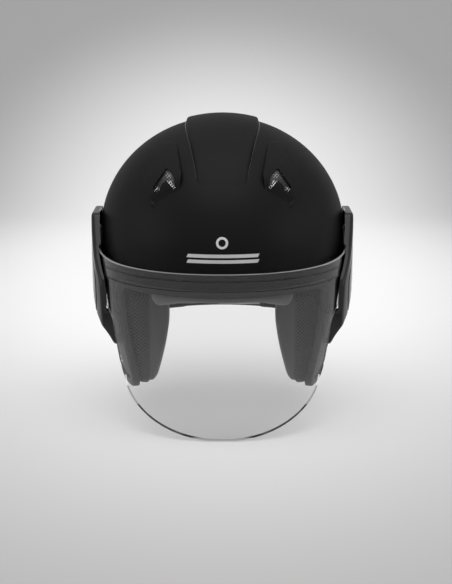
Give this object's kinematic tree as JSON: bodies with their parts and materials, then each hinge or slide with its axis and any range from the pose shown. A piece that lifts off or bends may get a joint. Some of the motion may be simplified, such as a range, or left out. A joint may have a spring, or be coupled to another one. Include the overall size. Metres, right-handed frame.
{
  "type": "open face motorcycle helmet",
  "caption": "Open face motorcycle helmet with a full-length clear visor that lifts on side pivots, padded liner, roof vents and a ratchet-buckled chin strap.",
  "frame": {"origin": "midpoint of the visor's pivot axis, inside the head cavity", "axes": "-Y towards the face opening, +Z towards the crown, +X towards the wearer's left"},
  "size_m": [0.26, 0.3002, 0.2918],
  "materials": {
    "shell_matte": "matte",
    "gloss_black": "gloss",
    "mesh_black": "satin",
    "trim_rubber": "matte",
    "eps_foam": "matte",
    "pad_fabric": "matte",
    "visor_clear": "clear gloss",
    "steel": "satin",
    "webbing": "woven",
    "lever_red": "gloss"
  },
  "bodies": {
    "shell": {"outer_shell": "shell_matte", "roof_panel": "shell_matte", "rear_exhaust_grille": "gloss_black", "vent_scoop_left": "gloss_black", "vent_mesh_left": "mesh_black", "vent_scoop_right": "gloss_black", "vent_mesh_right": "mesh_black", "edge_trim": "trim_rubber", "eps_liner": "eps_foam", "crown_pad": "pad_fabric", "brow_pad": "pad_fabric", "neck_roll": "pad_fabric", "cheek_block_left": "eps_foam", "cheek_pad_left": "pad_fabric", "cheek_block_right": "eps_foam", "cheek_pad_right": "pad_fabric", "pivot_base_left": "gloss_black", "base_screw_a_left": "steel", "base_screw_b_left": "steel", "detent_spring_left": "steel", "pivot_bush_left": "steel", "pivot_base_right": "gloss_black", "base_screw_a_right": "steel", "base_screw_b_right": "steel", "detent_spring_right": "steel", "pivot_bush_right": "steel", "strap_anchor_left": "steel", "strap_rivet_left": "steel", "strap_left": "webbing", "strap_anchor_right": "steel", "strap_rivet_right": "steel", "strap_right": "webbing", "chin_pad": "pad_fabric", "buckle_housing": "steel", "lever_pin": "steel"},
    "visor_unit": {"visor": "visor_clear", "side_cover_left": "gloss_black", "side_cover_right": "gloss_black", "pivot_screw_left": "gloss_black", "pivot_screw_right": "gloss_black"},
    "lever": {"buckle_lever": "lever_red", "lever_spring": "steel"},
    "tongue": {"buckle_tongue": "steel"}
  },
  "joints": [
    {"name": "visor_tilt", "type": "hinge", "parent": "shell", "child": "visor_unit", "pos_m": [0, 0, 0], "axis": [-1, 0, 0], "range_deg": [0, 60]},
    {"name": "buckle_lever_hinge", "type": "hinge", "parent": "shell", "child": "lever", "pos_m": [0.035, 0.0637, -0.055], "axis": [0, 0, 1], "range_deg": [0, 25], "stiffness_Nm_per_rad": 0.05, "springref_deg": -20.05},
    {"name": "tongue_slide", "type": "slide", "parent": "shell", "child": "tongue", "axis": [1, 0, 0], "range_m": [0, 0.01]}
  ]
}
